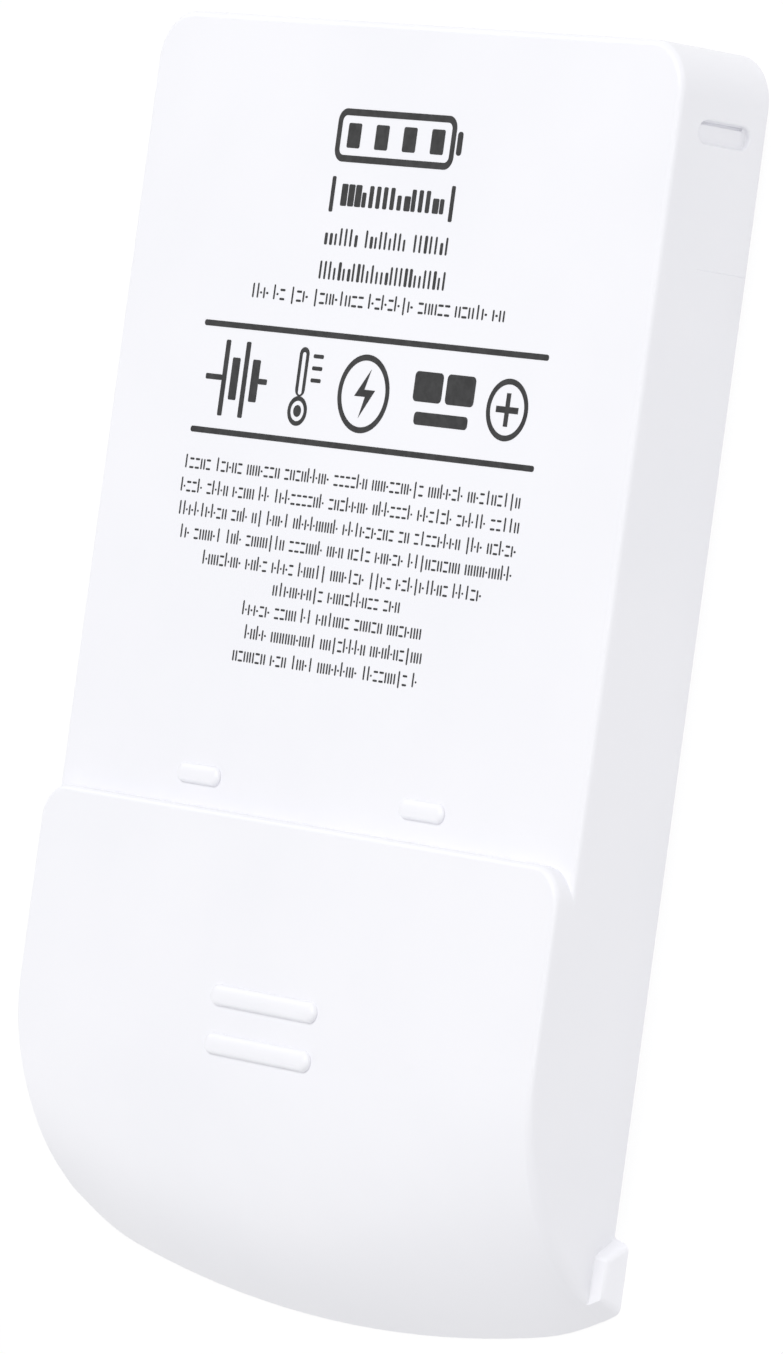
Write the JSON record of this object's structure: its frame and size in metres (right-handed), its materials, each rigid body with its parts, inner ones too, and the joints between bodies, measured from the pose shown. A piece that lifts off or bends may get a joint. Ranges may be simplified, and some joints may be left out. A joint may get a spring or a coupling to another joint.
{
  "type": "slide-in rechargeable battery pack",
  "caption": "Slim white slide-in rechargeable battery pack: flat slab with a raised, rolled-off grip end, snap detents, latch recesses, one locating lug and recessed end contacts.",
  "frame": {"origin": "centre of the pack's bounding box on the flat back face; the one-sided lug puts the housing's own centre plane at x = -0.75 mm", "axes": "+Z out of the printed face, +Y towards the contact end that is pushed in first, +X to the right of the printed face"},
  "size_m": [0.0576, 0.0904, 0.0099],
  "materials": {
    "housing_plastic": "fine matte white moulded plastic with a faint cool tint",
    "cover_plastic": "fine matte white moulded plastic",
    "pouch_laminate": "satin aluminium laminate foil",
    "tab_film": "dark sealant film",
    "board_laminate": "green solder mask on glass laminate",
    "nickel_strip": "rolled nickel strip",
    "aluminium_tab": "rolled aluminium foil",
    "chip_plastic": "black moulding compound",
    "capacitor_ceramic": "tan ceramic",
    "thermistor_ceramic": "olive ceramic",
    "gold_plate": "gold-plated contact",
    "insulating_tape": "amber insulating tape",
    "adhesive_tape": "double-sided tape",
    "foam": "closed-cell foam"
  },
  "bodies": {
    "root": {"front_housing": "housing_plastic", "rear_cover": "cover_plastic", "cell_pouch": "pouch_laminate", "positive_tab_film": "tab_film", "negative_tab_film": "tab_film", "protection_board": "board_laminate", "positive_solder_pad": "nickel_strip", "negative_solder_pad": "nickel_strip", "positive_tab": "aluminium_tab", "negative_tab": "nickel_strip", "thermal_cutoff": "chip_plastic", "cutoff_cell_lead": "nickel_strip", "cutoff_board_lead": "nickel_strip", "terrace_tape": "insulating_tape", "positive_contact": "gold_plate", "thermistor_contact": "gold_plate", "identity_contact": "gold_plate", "negative_contact": "gold_plate", "mosfet_pair": "chip_plastic", "protection_chip": "chip_plastic", "sense_resistor": "chip_plastic", "supply_resistor": "chip_plastic", "supply_capacitor": "capacitor_ceramic", "output_capacitor": "capacitor_ceramic", "identity_resistor": "chip_plastic", "thermistor": "thermistor_ceramic", "front_adhesive_pad": "adhesive_tape", "rear_adhesive_pad": "adhesive_tape", "left_foam": "foam", "right_foam": "foam", "end_foam": "foam"}
  },
  "joints": []
}
